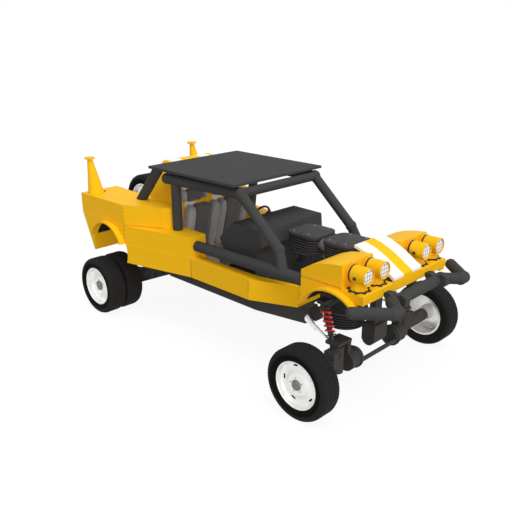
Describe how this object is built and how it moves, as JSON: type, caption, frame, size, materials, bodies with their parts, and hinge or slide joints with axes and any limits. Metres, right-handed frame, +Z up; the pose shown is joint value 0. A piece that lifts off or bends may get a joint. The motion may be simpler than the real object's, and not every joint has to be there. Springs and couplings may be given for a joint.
{
  "type": "dune buggy",
  "caption": "Long-travel open dune buggy with a finned engine ahead of two seats, a roll cage, twin rear tyres, steered front wheels and a spare wheel in the tail.",
  "frame": {"origin": "middle of the vehicle's length and width, on the ground", "axes": "+X forward, +Y to the left, +Z up"},
  "size_m": [4.6619, 2.363, 1.89],
  "materials": {
    "body_yellow": "gloss",
    "stripe_white": "gloss",
    "frame_dark": "satin",
    "liner_black": "matte",
    "engine_dark": "satin",
    "tyre": "matte",
    "rim_white": "gloss",
    "lens": "gloss",
    "seat_cloth": "matte",
    "spring_red": "gloss",
    "link_bright": "polished"
  },
  "bodies": {
    "chassis": {"belly_tub": "frame_dark", "tail_frame": "frame_dark", "front_frame": "frame_dark", "sills": "body_yellow", "side_pods": "body_yellow", "rear_wings": "body_yellow", "arch_liners": "liner_black", "front_wings": "body_yellow", "hood": "stripe_white", "scuttle": "frame_dark", "rear_deck": "body_yellow", "rear_cover": "body_yellow", "roll_cage": "frame_dark", "rear_stays": "frame_dark", "roof_panel": "frame_dark", "front_bumper": "frame_dark", "lamp_cans": "body_yellow", "lamp_lenses": "lens", "seat_left": "seat_cloth", "seat_right": "seat_cloth", "engine_block": "engine_dark", "cylinders": "engine_dark", "stacks": "body_yellow", "axle_housings": "frame_dark", "struts": "liner_black", "springs": "spring_red", "front_links": "link_bright", "rear_axle": "frame_dark", "rear_arms": "frame_dark", "spare_tyre": "tyre", "spare_rim": "rim_white"},
    "handwheel": {"steering_wheel": "liner_black"},
    "left_knuckle": {"knuckle_left": "frame_dark"},
    "right_knuckle": {"knuckle_right": "frame_dark"},
    "front_left_wheel": {"tyre_front_left": "tyre", "rim_front_left": "rim_white"},
    "front_right_wheel": {"tyre_front_right": "tyre", "rim_front_right": "rim_white"},
    "rear_left_wheels": {"tyres_rear_left": "tyre", "rim_rear_left": "rim_white"},
    "rear_right_wheels": {"tyres_rear_right": "tyre", "rim_rear_right": "rim_white"}
  },
  "joints": [
    {"name": "steer_right", "type": "hinge", "parent": "chassis", "child": "right_knuckle", "pos_m": [1.659, -0.57, 0.35], "axis": [0, 0, 1], "range_deg": [-28, 28]},
    {"name": "steer_left", "type": "hinge", "parent": "chassis", "child": "left_knuckle", "pos_m": [1.659, 0.57, 0.35], "axis": [0, 0, 1], "range_deg": [-28, 28]},
    {"name": "handwheel_turn", "type": "hinge", "parent": "chassis", "child": "handwheel", "pos_m": [-0.071, 0.24, 1.243], "axis": [-0.964, 0, 0.2659], "range_deg": [-336, 336]},
    {"name": "front_left_spin", "type": "hinge", "parent": "left_knuckle", "child": "front_left_wheel", "pos_m": [1.659, 1.064, 0.35], "axis": [0, 1, 0], "continuous": true},
    {"name": "front_right_spin", "type": "hinge", "parent": "right_knuckle", "child": "front_right_wheel", "pos_m": [1.659, -1.064, 0.35], "axis": [0, 1, 0], "continuous": true},
    {"name": "rear_left_spin", "type": "hinge", "parent": "chassis", "child": "rear_left_wheels", "pos_m": [-1.657, 0.875, 0.35], "axis": [0, 1, 0], "continuous": true},
    {"name": "rear_right_spin", "type": "hinge", "parent": "chassis", "child": "rear_right_wheels", "pos_m": [-1.657, -0.875, 0.35], "axis": [0, 1, 0], "continuous": true}
  ],
  "couplings": [
    {"joint": "steer_left", "follows": "steer_right", "ratio": 1},
    {"joint": "handwheel_turn", "follows": "steer_right", "ratio": 12}
  ]
}
